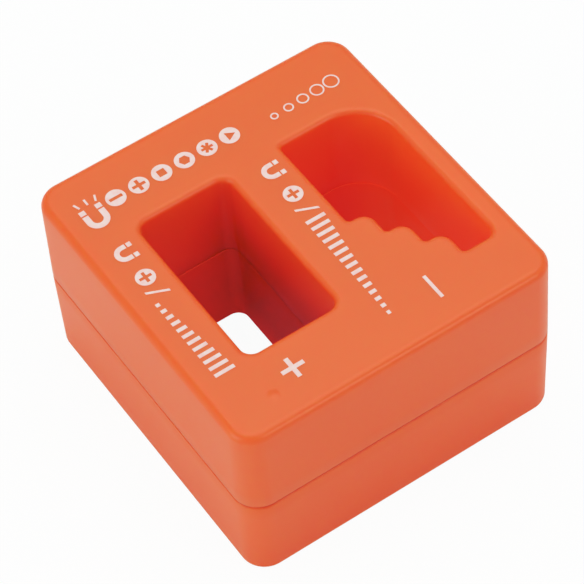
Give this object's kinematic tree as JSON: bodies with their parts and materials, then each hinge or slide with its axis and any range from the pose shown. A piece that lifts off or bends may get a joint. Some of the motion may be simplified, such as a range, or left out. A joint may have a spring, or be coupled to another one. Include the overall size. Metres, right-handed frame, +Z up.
{
  "type": "screwdriver magnetizer and demagnetizer",
  "caption": "Palm-size moulded block with a rectangular passage that magnetizes a screwdriver blade and a stepped passage that demagnetizes it.",
  "frame": {"origin": "centre of the footprint, on the flat face the block rests on", "axes": "+Z up, through the printed face; +Y along the longer side, towards the passages' square far ends; +X towards the stepped passage"},
  "size_m": [0.05, 0.052, 0.03],
  "materials": {
    "upper_plastic": "orange moulded ABS, fine satin",
    "lower_plastic": "orange moulded ABS, fine satin",
    "ferrite": "ground ferrite, dark grey",
    "white_ink": "pad-printed white ink"
  },
  "bodies": {
    "root": {"upper_shell": "upper_plastic", "lower_shell": "lower_plastic", "outer_magnet": "ferrite", "centre_magnet": "ferrite", "plus_print": "white_ink", "minus_print": "white_ink", "magnetize_print": "white_ink", "demagnetize_print": "white_ink", "bit_symbols_print": "white_ink", "blade_sizes_print": "white_ink", "magnet_emblem_print": "white_ink"}
  },
  "joints": []
}
